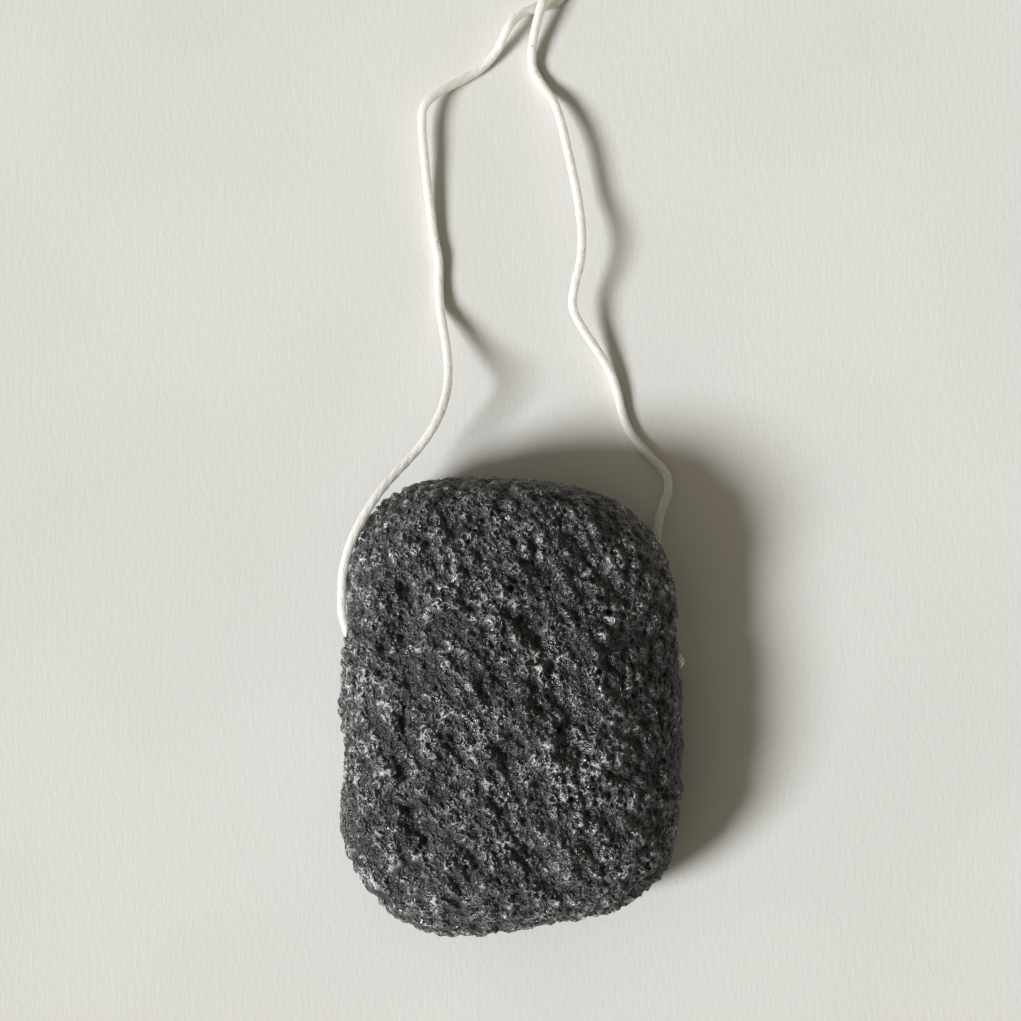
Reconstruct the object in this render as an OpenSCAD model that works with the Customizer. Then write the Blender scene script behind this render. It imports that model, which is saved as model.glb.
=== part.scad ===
// A konjac bath sponge: one cast and frozen block of plant-gel foam, with a twisted cotton
// string threaded through it from side to side and knotted into a hanging loop.
// The sponge lies on its flat face at z = 0. X runs across it along the string's tunnel,
// Y runs along its length towards the loop, and the origin is under its middle.

/* [Sponge] */
// Width of the sponge along X, at its widest line
sponge_width = 82; // [70:1:100]
// Length of the sponge along Y, at its widest line
sponge_length = 110; // [96:1:130]
// Thickness from the table to the crown
sponge_thickness = 32; // [28:0.5:40]
// Height of the widest line round the side
belt_height = 12.5; // [11:0.5:15]
// How far the flat underside is drawn in from the widest line
base_inset = 10; // [7:0.5:13]
// Width of the sloping band down the left side of the crown
left_band = 12; // [8:0.5:16]
// Width of the sloping band down the right side of the crown
right_band = 14; // [8:0.5:18]
// Width of the sloping band at the front end
front_band = 13.6; // [8:0.2:18]
// Width of the sloping band at the back end, which is steeper
back_band = 4; // [3:0.5:9]
// Rise of the crown above the inner edge of the bands
crown_rise = 3.5; // [1:0.5:5]

/* [Tunnel] */
// Distance of the string's tunnel from the sponge's middle, towards the back end
tunnel_offset = 12.6; // [8:0.2:18]
// Height of the tunnel's middle above the table
tunnel_height = 12.5; // [9:0.5:16]
// Slant of the tunnel in plan, in degrees
tunnel_slant = 4.1; // [0:0.1:8]
// Gap that the foam leaves round the string
string_gap = 0.3; // [0.2:0.05:0.6]
// How far inside the left side the string starts to bend
left_bend_inset = 6.1; // [4.5:0.1:8]
// How far inside the right side the string starts to bend
right_bend_inset = 4.8; // [4.5:0.1:8]
// Depth of the hollow that the string draws into the left side
side_hollow_depth = 1.8; // [0.5:0.1:3]
// Reach of that hollow along the side
side_hollow_reach = 8; // [4:0.5:12]

/* [String] */
// Diameter of the twisted cotton string
string_d = 2.2; // [1.6:0.1:2.6]
// Radius of the string's bend at each mouth of the tunnel
bend_radius = 4.6; // [4.4:0.1:6]

/* [Knot] */
// Length of the knot along the string
knot_length = 12; // [9:0.5:16]
// Diameter of the knot
knot_d = 9.6; // [9:0.2:12]
// Rounding of the knot's ends
knot_rounding = 1.6; // [0.8:0.1:1.8]

/* [Hidden] */
$fn = 48;

// Points round the sponge's plan, and rings up its lower side, its bands and its crown
plan_steps = 60;
lower_steps = 4;
band_steps = 4;
crown_steps = 10;

half_width = sponge_width / 2;
half_length = sponge_length / 2;
shoulder_height = sponge_thickness - crown_rise;

// Squareness of the plan in its four corners: back right, back left, front left, front right
corner_powers = [3.2, 3.6, 3.0, 3.2];
round_power = 2;
// The plan narrows a little to the right and bows a little towards the front
taper_share = 0.045;
taper_centre_share = 0.25;
bow_share = 0.02;
// Angle of the band's elliptical profile at its inner edge, where the crown takes over
shoulder_angle = 60;
// Bulges and hollows of the outline: direction from the middle and reach in degrees, then
// how far the foam stands out there as a share of the width
bulge_shares = [
    [8, 7, 0.009], [23, 8, -0.008], [43, 14, 0.017], [70, 10, 0.004],
    [90, 20, 0.004], [122, 10, -0.005], [160, 10, -0.008], [197, 8, -0.018],
    [219, 9, 0.018], [246, 8, -0.002], [283, 14, -0.026], [316, 8, 0.022],
    [333, 8, 0.007]
];

// Where the hollow in the left side begins at the string's mouth, where it is deepest and
// how sharply it begins, as shares of half the length
hollow_front_share = 0.31;
hollow_middle_share = 0.38;
hollow_step_share = 0.007;

// Creases and soft dents of the crown. Each runs straight from one place to another: both
// places as shares of half the width and half the length, then the reach as a share of
// the width and the depth as a share of the thickness.
dent_shares = [
    [-0.60, 0.51, -0.60, 0.18, 0.051, 0.070],
    [-0.60, 0.11, -0.60, 0.00, 0.049, 0.085],
    [-0.61, -0.15, -0.61, -0.22, 0.051, 0.070],
    [-0.61, -0.22, -0.52, -0.58, 0.051, 0.070],
    [0.09, 0.38, 0.24, 0.16, 0.043, 0.042],
    [0.29, 0.07, 0.40, -0.09, 0.041, 0.062],
    [0.05, -0.56, 0.20, -0.69, 0.039, 0.048],
    [0.20, -0.69, 0.36, -0.79, 0.039, 0.048],
    [0.33, 0.82, 0.48, 0.53, 0.044, 0.036],
    [0.48, 0.53, 0.64, 0.43, 0.044, 0.036],
    [-0.20, 0.84, -0.06, 0.75, 0.039, 0.030],
    [-0.29, 0.15, -0.22, -0.25, 0.045, 0.025],
    [0.79, 0.32, 0.79, 0.08, 0.085, 0.105]
];

// Broad lumps that drying leaves on the crown, as crossing swells: the direction of each
// in degrees, its length as a share of the width, its height as a share of the thickness
// and where in its wave it starts, in degrees
swell_shares = [
    [35, 0.122, 0.011, 20], [78, 0.138, 0.011, 150], [118, 0.116, 0.012, 250],
    [158, 0.150, 0.012, 80], [12, 0.190, 0.012, 310]
];

// The string's bends at the two mouths: how far each bend turns, how far it rolls out of
// the level plane, and how much of it the foam still holds, all in degrees
left_turn = 75;
left_roll = 15;
right_turn = 115;
right_roll = -75;
held_turn = 55;
// Straight run of the mouth's slot past its bend, in string diameters
slot_run_share = 2.2;
slot_run = slot_run_share * string_d;
// Rings round the held part of a bend, and round a whole bend of the tunnel
held_rings = 2;
slot_rings = 4;

// The knot lies on the table just past the crossing of the two legs, which enter it side by
// side with a small gap between them
knot_place = [12.1, 178, knot_d / 2];
leg_gap = 0.1;
leg_spread = string_d / 2 + leg_gap;
leg_drop = 1.8;
left_leg_end = knot_place + [leg_spread, 0, -leg_drop];
right_leg_end = knot_place + [-leg_spread, 0, -leg_drop];
knot_far = [0, knot_length, 0];
string_sides = 8;

// The left leg leans up the sponge's side, springs off its back corner, comes down to the
// table and wanders back to pass under the right leg
left_route = [
    [-40.2, 23, 14.3], [-40.2, 27.5, 15.2], [-39.8, 33, 16.2], [-38.2, 39, 16.8],
    [-35.4, 45, 17], [-31.6, 51, 16.4], [-27.5, 56, 14.9], [-22.6, 61.3, 13.6],
    [-18.5, 67, 13.9], [-16, 72.7, 12.2], [-15, 78.5, 8.8], [-15.2, 84.5, 6],
    [-16, 90, 4], [-17, 96, 1.9], [-17.3, 102, 1.2], [-17.4, 108, 1.4],
    [-18.5, 113.5, 1.4], [-19.2, 119, 1.7], [-20.1, 125.5, 2.3], [-20.8, 132.5, 3],
    [-21.4, 139.5, 3.5], [-20.9, 144.8, 4.1], [-17.2, 148.5, 3], [-12, 151.4, 1.8],
    [-7, 154.5, 1.5], [-3, 159, 2.6], [-0.5, 164, 4.4], [3, 167.8, 2.4],
    [8, 169.3, 1.1], [12, 171, 1.2], [13.4, 174.2, 1.9]
];

// The right leg dives under the sponge's right side, runs along the table, rises in a low
// bow and comes down to cross over the left leg
right_route = [
    [39.3, 13.7, 2.9], [38.9, 16.3, 1.8], [38.6, 20.5, 1.5], [37.8, 26, 1.5],
    [36.6, 31.5, 1.6], [35.6, 37, 2], [35.5, 42, 2.6], [36.5, 47, 3],
    [38.1, 51.8, 3.1], [37.6, 56.2, 2.6], [33.6, 60.6, 1.5], [29.7, 65.2, 1.1],
    [27.4, 70, 1.1], [26.1, 75.3, 1.4], [24.2, 80.8, 1.8], [20.8, 86.3, 3],
    [17.5, 91.2, 4.4], [15, 96.2, 6.3], [15.5, 101.5, 7.7], [16.9, 107.5, 7.6],
    [17.2, 114, 6.5], [16.6, 120.5, 5.2], [15.4, 127, 5.1], [14, 133.5, 5],
    [12.5, 140, 4.1], [10.7, 145.8, 2.7], [8, 150, 1.3], [5.6, 154.3, 1.1],
    [5.2, 159, 2.4], [6.1, 164, 3.7], [7.4, 169, 4.6], [9.3, 173.8, 3.3]
];

left_tail_route = [[14.6, 194.2, 2.2], [16.6, 198.2, 1.2], [17.6, 203, 1.1]];
right_tail_route = [[10, 194.4, 2.1], [8, 198.4, 1.2], [7.4, 202.4, 1.1]];

// A signed power, for the squared-off ovals of the plan
function signed_power(v, power) = sign(v) * pow(abs(v), power);

// Which corner of the plan a direction points into
function corner_power(turn) =
    corner_powers[floor(turn / 90) % 4];

// One point of a squared-off oval round a centre, with the given half sizes
function plan_point(turn, centre, half, squareness) =
    let (power = round_power + (corner_power(turn) - round_power) * squareness,
         x = signed_power(cos(turn), 2 / power),
         y = signed_power(sin(turn), 2 / power),
         tapered = y * (1 - taper_share * (x + taper_centre_share)),
         bowed = x * (1 - bow_share * y))
    [centre[0] + half[0] * bowed, centre[1] + half[1] * tapered];

// The sum of a list
function total(list) = list * [for (v = list) 1];

// How far the outline stands out in the direction of a place, less towards the middle
function bulge_at(p) =
    let (bearing = atan2(p[1], p[0]),
         edge_share = min(1, pow(p[0] / half_width, 2) + pow(p[1] / half_length, 2)))
    edge_share * sponge_width * total([for (b = bulge_shares)
        let (turn = (bearing - b[0] + 540) % 360 - 180)
        b[2] * exp(-pow(turn / b[1], 2))]);

// How far the foam's left side is drawn in beside the string
function hollow_at(p) =
    let (past_front = (p[1] / half_length - hollow_front_share) / hollow_step_share,
         off_middle = (p[1] - hollow_middle_share * half_length) / side_hollow_reach)
    p[0] < 0 ? side_hollow_depth * -p[0] / half_width
        * exp(-pow(off_middle, 2)) / (1 + exp(-past_front)) : 0;

// Distance in plan from a point to a straight stretch
function stretch_distance(p, a, b) =
    let (along = b - a, t = max(0, min(1, ((p - a) * along) / (along * along))))
    norm(p - a - t * along);

function dent_at(p) =
    let (depths = [for (d = dent_shares)
        let (a = [d[0] * half_width, d[1] * half_length],
             b = [d[2] * half_width, d[3] * half_length],
             reach = d[4] * sponge_width)
        d[5] * sponge_thickness * exp(-pow(stretch_distance(p, a, b) / reach, 2))])
    max(depths);

// How far the swells lift the crown at a place
function swell_at(p) =
    sponge_thickness * total([for (s = swell_shares)
        s[2] * sin(360 * (p * [cos(s[0]), sin(s[0])]) / (s[1] * sponge_width) + s[3])]);

// A ring of the sponge. The bands are drawn in by a share of their widths, and scale then
// shrinks the ring towards the middle of the crown.
function ring(inset_share, scale, z, base = 0) =
    let (left = -half_width + left_band * inset_share + base,
         right = half_width - right_band * inset_share - base,
         front = -half_length + front_band * inset_share + base,
         back = half_length - back_band * inset_share - base,
         centre = [(left + right) / 2, (front + back) / 2],
         half = [(right - left) / 2, (back - front) / 2] * scale)
    [for (i = [0 : plan_steps - 1])
        let (p = plan_point(360 * i / plan_steps, centre, half, scale),
             swollen = p + bulge_at(p) * p / norm(p),
             drawn = [swollen[0] + hollow_at(swollen), swollen[1]],
             high = max(0, (z - belt_height) / (sponge_thickness - belt_height)))
        [drawn[0], drawn[1], z + (swell_at(drawn) - dent_at(drawn)) * high]];

lower_rings = [for (k = [0 : lower_steps - 1])
    let (a = 90 * k / lower_steps)
    ring(0, 1, belt_height * (1 - cos(a)), base_inset * (1 - sin(a)))];

band_rings = [for (k = [0 : band_steps])
    let (a = shoulder_angle * k / band_steps,
         inset_share = (1 - cos(a)) / (1 - cos(shoulder_angle)),
         rise_share = sin(a) / sin(shoulder_angle))
    ring(inset_share, 1, belt_height + (shoulder_height - belt_height) * rise_share)];

crown_rings = [for (k = [1 : crown_steps - 1])
    let (scale = 1 - k / crown_steps)
    ring(1, scale, shoulder_height + crown_rise * (1 - scale * scale))];

foam_rings = concat(lower_rings, band_rings, crown_rings);
crown_middle = [(left_band - right_band) / 2, (front_band - back_band) / 2];
crown_peak = [crown_middle[0], crown_middle[1],
              sponge_thickness + swell_at(crown_middle) - dent_at(crown_middle)];

// Triangles between rings of equal length, listed one ring after another
function skin_faces(rings, steps) =
    [for (k = [0 : rings - 2], i = [0 : steps - 1], upper = [0, 1])
        let (a = k * steps + i, b = k * steps + (i + 1) % steps)
        upper == 0 ? [a, a + steps, b] : [b, a + steps, b + steps]];

module foam_block() {
    rings = len(foam_rings);
    last = (rings - 1) * plan_steps;
    under = rings * plan_steps;
    peak = under + 1;
    points = concat([for (r = foam_rings, p = r) p], [[0, 0, 0], crown_peak]);
    faces = concat(
        [for (i = [0 : plan_steps - 1]) [i, (i + 1) % plan_steps, under]],
        skin_faces(rings, plan_steps),
        [for (i = [0 : plan_steps - 1]) [last + i, peak, last + (i + 1) % plan_steps]]);
    polyhedron(points, faces);
}

// Where the string starts to bend at a mouth, and which way it bends. Side is -1 at the
// left mouth and 1 at the right mouth.
function turn_of(side) = side < 0 ? left_turn : right_turn;
function roll_of(side) = side < 0 ? left_roll : right_roll;
function bend_x(side) =
    side < 0 ? -half_width + left_bend_inset : half_width - right_bend_inset;
function bend_start(side) =
    [bend_x(side), tunnel_offset - bend_x(side) * tan(tunnel_slant), tunnel_height];
function bend_out(side) = side * [cos(tunnel_slant), -sin(tunnel_slant), 0];
function bend_across(side) =
    [sin(tunnel_slant) * cos(roll_of(side)), cos(tunnel_slant) * cos(roll_of(side)),
     sin(roll_of(side))];
function bend_point(side, turn) =
    bend_start(side) + bend_radius * (sin(turn) * bend_out(side)
        + (1 - cos(turn)) * bend_across(side));
function bend_direction(side, turn) =
    cos(turn) * bend_out(side) + sin(turn) * bend_across(side);

// The string's way through the foam as far as each bend has turned: the bend at the left
// mouth, the straight middle and the bend at the right mouth
function bend_path(side, turn, steps) =
    [for (k = [0 : steps]) bend_point(side, turn * k / steps)];
function reversed(list) = [for (i = [len(list) - 1 : -1 : 0]) list[i]];
held_path = concat(reversed(bend_path(-1, held_turn, held_rings)),
                   bend_path(1, held_turn, held_rings));

// The tunnel in the foam, with the slots that the string wears at its mouths
function slot_end(side) =
    bend_point(side, turn_of(side)) + slot_run * bend_direction(side, turn_of(side));
tunnel_path = concat([slot_end(-1)],
                     reversed(bend_path(-1, left_turn, slot_rings)),
                     bend_path(1, right_turn, slot_rings), [slot_end(1)]);

module string_tunnel() {
    swept_string(tunnel_path, -bend_direction(-1, left_turn), bend_direction(1, right_turn),
                 string_d + 2 * string_gap);
}

module sponge_body() {
    color([0.22, 0.22, 0.23])
        difference() {
            foam_block();
            string_tunnel();
        }
}

module string_in_sponge() {
    color([0.93, 0.90, 0.83])
        swept_string(held_path, -bend_direction(-1, held_turn), bend_direction(1, held_turn));
}

function unit(v) = v / norm(v);
function carried(v, along) = unit(v - (v * along) * along);

// Direction of a path at each point, with its two ends given
function path_directions(path, first, last) =
    [for (i = [0 : len(path) - 1])
        i == 0 ? unit(first)
        : i == len(path) - 1 ? unit(last)
        : unit(path[i + 1] - path[i - 1])];

// Side directions carried along the path without twist
function path_sides(directions, side, i = 0) =
    i == len(directions) ? []
    : let (s = carried(side, directions[i]))
      concat([s], path_sides(directions, s, i + 1));

// A round string swept along its path, with a ring at each point
module swept_string(path, first, last, d = string_d) {
    directions = path_directions(path, first, last);
    sides = path_sides(directions, carried([0, 0, 1], directions[0]));
    points = [for (i = [0 : len(path) - 1], k = [0 : string_sides - 1])
        let (a = 360 * k / string_sides, other = cross(directions[i], sides[i]))
        path[i] + d / 2 * (cos(a) * sides[i] + sin(a) * other)];
    last_ring = (len(path) - 1) * string_sides;
    faces = concat(
        [[for (k = [0 : string_sides - 1]) k]],
        skin_faces(len(path), string_sides),
        [[for (k = [string_sides - 1 : -1 : 0]) last_ring + k]]);
    polyhedron(points, faces);
}

// A leg starts at the end of the stretch that the foam holds, follows the rest of the bend
// and then its own route, and ends square on the knot
module string_leg(side, route, leg_end) {
    turn = turn_of(side);
    path = concat(
        [for (a = [held_turn, (held_turn + turn) / 2, turn]) bend_point(side, a)],
        [bend_point(side, turn) + string_d * bend_direction(side, turn)],
        route, [leg_end]);
    swept_string(path, bend_direction(side, held_turn), [0, 1, 0]);
}

module string_left_leg() {
    color([0.93, 0.90, 0.83]) string_leg(-1, left_route, left_leg_end);
}

module string_right_leg() {
    color([0.93, 0.90, 0.83]) string_leg(1, right_route, right_leg_end);
}

// The overhand knot in both strands, as one rounded barrel along Y
module string_knot() {
    outer = knot_d / 2;
    flat = outer - knot_rounding;
    color([0.91, 0.87, 0.79])
        translate(knot_place)
            rotate([-90, 0, 0])
                rotate_extrude() {
                    square([flat, knot_length]);
                    translate([0, knot_rounding])
                        square([outer, knot_length - 2 * knot_rounding]);
                    for (level = [knot_rounding, knot_length - knot_rounding])
                        translate([flat, level]) circle(r = knot_rounding);
                }
}

module string_tail(start, route) {
    path = concat([start], route);
    points = len(path);
    swept_string(path, [0, 1, 0], path[points - 1] - path[points - 2]);
}

module string_left_tail() {
    color([0.93, 0.90, 0.83]) string_tail(left_leg_end + knot_far, left_tail_route);
}

module string_right_tail() {
    color([0.93, 0.90, 0.83]) string_tail(right_leg_end + knot_far, right_tail_route);
}

sponge_body();
string_in_sponge();
string_left_leg();
string_right_leg();
string_knot();
string_left_tail();
string_right_tail();
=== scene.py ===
import math

import bmesh
import bpy
import numpy as np
from mathutils import Matrix, Vector, kdtree, noise


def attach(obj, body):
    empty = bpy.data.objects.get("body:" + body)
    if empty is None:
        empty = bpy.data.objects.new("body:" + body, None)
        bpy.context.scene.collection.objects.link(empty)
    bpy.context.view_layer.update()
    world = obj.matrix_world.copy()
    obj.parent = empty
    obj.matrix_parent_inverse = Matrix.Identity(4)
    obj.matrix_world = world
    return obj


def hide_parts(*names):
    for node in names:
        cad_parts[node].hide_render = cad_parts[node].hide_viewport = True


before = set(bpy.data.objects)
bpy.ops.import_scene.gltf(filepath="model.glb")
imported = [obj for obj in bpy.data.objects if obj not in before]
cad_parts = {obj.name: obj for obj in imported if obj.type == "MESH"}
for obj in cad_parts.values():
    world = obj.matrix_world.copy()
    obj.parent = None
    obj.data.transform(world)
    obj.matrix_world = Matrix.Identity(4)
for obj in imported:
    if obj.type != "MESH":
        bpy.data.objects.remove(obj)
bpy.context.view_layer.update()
scene = bpy.context.scene
mm = 0.001

# Camera. The picture is taken from straight above with a long lens, and its middle lies
# above the string, a little behind the sponge.
camera_height = 800 * mm
camera_along = 47.2 * mm
lens_pixels = 3293
picture_pixels = 1021
sensor_width = 36
nearest_seen = 0.05
farthest_seen = 20


def placed(name, data):
    """An object with this data, put in the scene."""
    thing = bpy.data.objects.new(name, data)
    scene.collection.objects.link(thing)
    return thing


camera_data = bpy.data.cameras.new("camera")
camera_data.sensor_width = sensor_width
camera_data.lens = lens_pixels / picture_pixels * sensor_width
camera_data.clip_start = nearest_seen
camera_data.clip_end = farthest_seen
camera = placed("camera", camera_data)
camera.location = (0, camera_along, camera_height)
scene.camera = camera

# String. One length of soft undyed cotton, three plies of three yarns laid left over right,
# threaded through the foam and knotted into a loop. All its sizes and routes are in millimetres.
string_d = 2.2
plies = 3
yarns = 9
lay_length = 11.5
row_step = 0.4
line_smoothing = 4

# The tunnel through the foam, and the bends that the string makes where it comes out
bend_radius = 4.6
held_turn = 55
tunnel_offset = 12.6
tunnel_height = 12.5
tunnel_slant = 4.1
# Side of the mouth: where the bend starts across the sponge, how far it turns, how it rolls
bends = {-1: (-34.9, 75, 15), 1: (36.2, 115, -75)}
bend_marks = {-1: (75, 50, 25, 0), 1: (0, 29, 57, 86, 115)}
straight_step = 2

# Where each leg and tail lies, from the mouth to the knot and from the knot to the cut end
left_route = [
    (-40.2, 23, 14.3), (-40.2, 27.5, 15.2), (-39.8, 33, 16.2), (-38.2, 39, 16.8),
    (-35.4, 45, 17), (-31.6, 51, 16.4), (-27.5, 56, 14.9), (-22.6, 61.3, 13.6),
    (-18.5, 67, 13.9), (-16, 72.7, 12.2), (-15, 78.5, 8.8), (-15.2, 84.5, 6),
    (-16, 90, 4), (-17, 96, 1.9), (-17.3, 102, 1.2), (-17.4, 108, 1.4),
    (-18.5, 113.5, 1.4), (-19.2, 119, 1.7), (-20.1, 125.5, 2.3), (-20.8, 132.5, 3),
    (-21.4, 139.5, 3.5), (-20.9, 144.8, 4.1), (-17.2, 148.5, 3), (-12, 151.4, 1.8),
    (-7, 154.5, 1.5), (-3, 159, 2.6), (-0.5, 164, 4.4), (3, 167.8, 2.4),
    (8, 169.3, 1.1), (12, 171, 1.2), (13.4, 174.2, 1.9)
]
right_route = [
    (39.3, 13.7, 2.9), (38.9, 16.3, 1.8), (38.6, 20.5, 1.5), (37.8, 26, 1.5),
    (36.6, 31.5, 1.6), (35.6, 37, 2), (35.5, 42, 2.6), (36.5, 47, 3),
    (38.1, 51.8, 3.1), (37.6, 56.2, 2.6), (33.6, 60.6, 1.5), (29.7, 65.2, 1.1),
    (27.4, 70, 1.1), (26.1, 75.3, 1.4), (24.2, 80.8, 1.8), (20.8, 86.3, 3),
    (17.5, 91.2, 4.4), (15, 96.2, 6.3), (15.5, 101.5, 7.7), (16.9, 107.5, 7.6),
    (17.2, 114, 6.5), (16.6, 120.5, 5.2), (15.4, 127, 5.1), (14, 133.5, 5),
    (12.5, 140, 4.1), (10.7, 145.8, 2.7), (8, 150, 1.3), (5.6, 154.3, 1.1),
    (5.2, 159, 2.4), (6.1, 164, 3.7), (7.4, 169, 4.6), (9.3, 173.8, 3.3)
]
left_tail_route = [(14.6, 194.2, 2.2), (16.6, 198.2, 1.2), (17.6, 203, 1.1)]
right_tail_route = [(10, 194.4, 2.1), (8, 198.4, 1.2), (7.4, 202.4, 1.1)]


def bend_point(side, turn):
    """A point of the string's bend at a mouth of its tunnel, turned by so many degrees."""
    start_x, _, roll = bends[side]
    slant, roll, turn = (math.radians(a) for a in (tunnel_slant, roll, turn))
    out = side * np.array([math.cos(slant), -math.sin(slant), 0])
    across = np.array([math.sin(slant) * math.cos(roll), math.cos(slant) * math.cos(roll),
                       math.sin(roll)])
    start = np.array([start_x, tunnel_offset - start_x * math.tan(slant), tunnel_height])
    return start + bend_radius * (math.sin(turn) * out + (1 - math.cos(turn)) * across)


def respaced(points, step):
    """The same line with its points an even step apart."""
    points = np.asarray(points, float)
    lengths = np.linalg.norm(np.diff(points, axis=0), axis=1)
    along = np.concatenate([[0], np.cumsum(lengths)])
    marks = np.linspace(0, along[-1], max(2, round(along[-1] / step)) + 1)
    return np.stack([np.interp(marks, along, points[:, k]) for k in range(3)], 1)


def curved(points, parts=12):
    """A smooth line through the points, by Catmull and Rom's rule."""
    p = np.asarray(points, float)
    p = np.vstack([2 * p[0] - p[1], p, 2 * p[-1] - p[-2]])
    line = []
    for a, b, c, d in zip(p[:-3], p[1:-2], p[2:-1], p[3:]):
        for t in np.arange(parts) / parts:
            line.append(0.5 * (2 * b + (c - a) * t + (2 * a - 5 * b + 4 * c - d) * t ** 2
                               + (3 * b - a - 3 * c + d) * t ** 3))
    return np.array(line + [p[-2]])


# Knot. Both strands go round together in one overhand knot, which is pulled tight here:
# each strand shortens between its two leads while they press against each other.
knot_place = np.array([12.1, 184, 4.8])
knot_loop = 3.0
# The open knot: its lobes are counted in loops, its cut in radians of the trefoil
lobe_cut = 0.35
lobe_middle = 1.3
lead = np.array([(9, -3.3, 0), (5, -3.3, 0), (2, -3.3, 0), (0.95, -3.1, 0), (0.7, -2.75, 0)])
open_points = 160
open_step = 0.7
open_smoothing = 3
open_lift = 2.5
strand_offset = 0.55
trimmed = 3
# The pulling: its steps, how hard the strands shorten, sink and press apart in each
knot_step = 0.8
knot_rounds = 620
knot_settling = 140
pull, settling_pull = 0.5, 0.1
pressings, settling_pressings = 2, 4
respaced_every = 5
sinking = 0.003
knot_press = 0.92
own_reach = 1.5
least_square = 1e-12
# The knot's half length, and how far and how softly it is moved to its middle
knot_half = 6
moved_half = 10.5
moved_fade = 4


def smoothed(line, rounds):
    """Draws each point of a line towards its neighbours, with its ends held."""
    for _ in range(rounds):
        line[1:-1] = (line[:-2] + 2 * line[1:-1] + line[2:]) / 4


def overhand_strand(side):
    """One strand of the open knot: a trefoil cut at a lobe, with a lead at either end."""
    t = np.linspace(math.pi + lobe_cut, 3 * math.pi - lobe_cut, open_points)
    trefoil = np.stack([np.sin(t) + 2 * np.sin(2 * t), np.cos(t) - 2 * np.cos(2 * t),
                        -np.sin(3 * t)], 1)
    line = respaced(np.vstack([lead, trefoil, lead[::-1] * (-1, 1, 1)]) * knot_loop, open_step)
    smoothed(line, open_smoothing)
    direction = np.gradient(line, axis=0)
    sideways = np.stack([-direction[:, 1], direction[:, 0], 0 * direction[:, 2]], 1)
    sideways /= np.linalg.norm(sideways, axis=1)[:, None]
    line += side * strand_offset * string_d * sideways
    return np.stack([line[:, 1] + lobe_middle * knot_loop, -line[:, 0],
                     line[:, 2] + open_lift], 1)


def tightened(strands):
    """Pulls the strands tight on the table, with their ends held."""
    for round_number in range(knot_rounds + knot_settling):
        settling = round_number >= knot_rounds
        if round_number % respaced_every == 0:
            strands = [respaced(s, knot_step) for s in strands]
            owner = np.repeat([0, 1], [len(s) for s in strands])
            place = np.concatenate([np.arange(len(s)) for s in strands]) * knot_step
            own = own_reach * string_d
            apart = (owner[:, None] != owner) | (abs(place[:, None] - place) > own)
        for s in strands:
            s[1:-1] += (settling_pull if settling else pull) * ((s[:-2] + s[2:]) / 2 - s[1:-1])
            s[1:-1, 2] -= sinking
        ends = [(s[0].copy(), s[-1].copy()) for s in strands]
        p = np.vstack(strands)
        for _ in range(settling_pressings if settling else pressings):
            squares = (p ** 2).sum(1)
            gaps = np.sqrt(np.maximum(squares[:, None] + squares - 2 * p @ p.T, least_square))
            i, j = np.nonzero(apart & (gaps < knot_press * string_d))
            push = (p[i] - p[j]) * (knot_press * string_d / gaps[i, j] - 1)[:, None] / 2
            total = np.zeros_like(p)
            np.add.at(total, i, push)
            p += total / np.sqrt(np.maximum(np.bincount(i, minlength=len(p)), 1))[:, None]
            p[:, 2] = np.maximum(p[:, 2], string_d / 2)
        strands = [p[:len(strands[0])], p[len(strands[0]):]]
        for s, (first, last) in zip(strands, ends):
            s[0] = first
            s[-1] = last
    return strands


leads = {-1: (right_route[-1], right_tail_route[0]), 1: (left_route[-1], left_tail_route[0])}
strands = sorted([overhand_strand(-1), overhand_strand(1)], key=lambda s: s[0][0])
strands = [np.vstack([leads[side][0], (s + knot_place)[trimmed:-trimmed], leads[side][1]])
           for side, s in zip((-1, 1), strands)]
right_strand, left_strand = tightened(strands)

# The knot settles a little to one side as it tightens, so its middle is brought back.
body = np.vstack([s[abs(s[:, 1] - knot_place[1]) < knot_half]
                  for s in (left_strand, right_strand)])
aside = (body[:, 0].min() + body[:, 0].max()) / 2 - knot_place[0]
for s in (left_strand, right_strand):
    nearness = np.clip((moved_half - abs(s[:, 1] - knot_place[1])) / moved_fade, 0, 1)
    s[:, 0] -= aside * nearness ** 2 * (3 - 2 * nearness)

# The whole string's line, from the left cut end to the right one
left_turns = [bend_point(-1, a) for a in bend_marks[-1]]
right_turns = [bend_point(1, a) for a in bend_marks[1]]
straight = list(respaced([left_turns[-1], right_turns[0]], straight_step))
string_line = respaced(curved(
    left_tail_route[:0:-1] + list(left_strand[::-2]) + left_route[-2::-1]
    + left_turns[:-1] + straight + right_turns[1:] + right_route[:-1]
    + list(right_strand[::2]) + right_tail_route[1:]), row_step)
smoothed(string_line, line_smoothing)


def row_near(point):
    """The row of the string's line that comes nearest to a point."""
    return int(np.argmin(np.linalg.norm(string_line - point, axis=1)))


# Where along Y the knot's piece begins and ends
knot_front, knot_back = 178, 190
left_mouth = row_near(bend_point(-1, held_turn))
right_mouth = row_near(bend_point(1, held_turn))
rows = np.arange(len(string_line))
in_front = string_line[:, 1] < knot_front
behind = string_line[:, 1] > knot_back
left_tail_end = rows[(rows < left_mouth) & ~behind].min()
left_leg_start = rows[(rows < left_mouth) & ~in_front].max()
right_leg_end = rows[(rows > right_mouth) & ~in_front].min()
right_tail_start = rows[(rows > right_mouth) & ~behind].max()

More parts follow.
